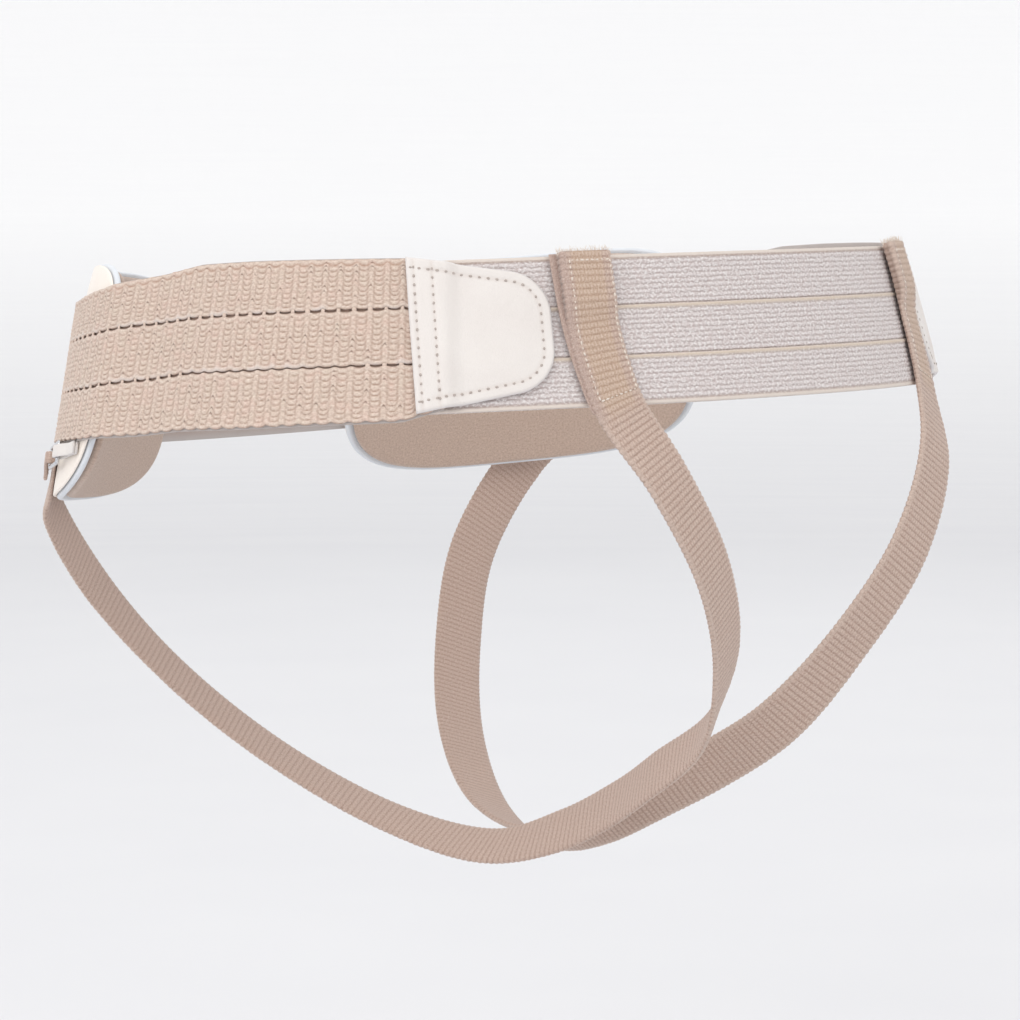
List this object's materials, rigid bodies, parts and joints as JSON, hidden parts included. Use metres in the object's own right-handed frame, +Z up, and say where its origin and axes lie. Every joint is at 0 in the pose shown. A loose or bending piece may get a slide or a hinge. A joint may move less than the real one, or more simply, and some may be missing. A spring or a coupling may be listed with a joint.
{
  "type": "hernia belt",
  "caption": "Elastic hip belt with front pads, leather tabs and leg straps, worn to hold an inguinal hernia back.",
  "frame": {"origin": "middle of the hips that the belt goes round, level with the belt's middle line at the wearer's sides", "axes": "+Z up the wearer, +Y to the wearer's back, +X to the wearer's left, across the longest extent"},
  "size_m": [0.332, 0.2756, 0.2191],
  "materials": {
    "back_elastic": "woven elastic with pale glossy threads",
    "front_knit": "coarse knitted elastic",
    "strap_elastic": "ribbed elastic",
    "cream_leather": "soft satin",
    "white_board": "smooth",
    "tan_cushion": "brushed",
    "nickel": "polished"
  },
  "bodies": {
    "root": {"back_band": "back_elastic", "front_band": "front_knit", "left_tab": "cream_leather", "left_pad_cushion": "tan_cushion", "left_pad_board": "white_board", "left_pad_cover": "cream_leather", "left_ring": "nickel", "left_ring_chape": "cream_leather", "left_leg_strap": "strap_elastic", "right_tab": "cream_leather", "right_pad_cushion": "tan_cushion", "right_pad_board": "white_board", "right_pad_cover": "cream_leather", "right_ring": "nickel", "right_ring_chape": "cream_leather", "right_leg_strap": "strap_elastic"}
  },
  "joints": []
}
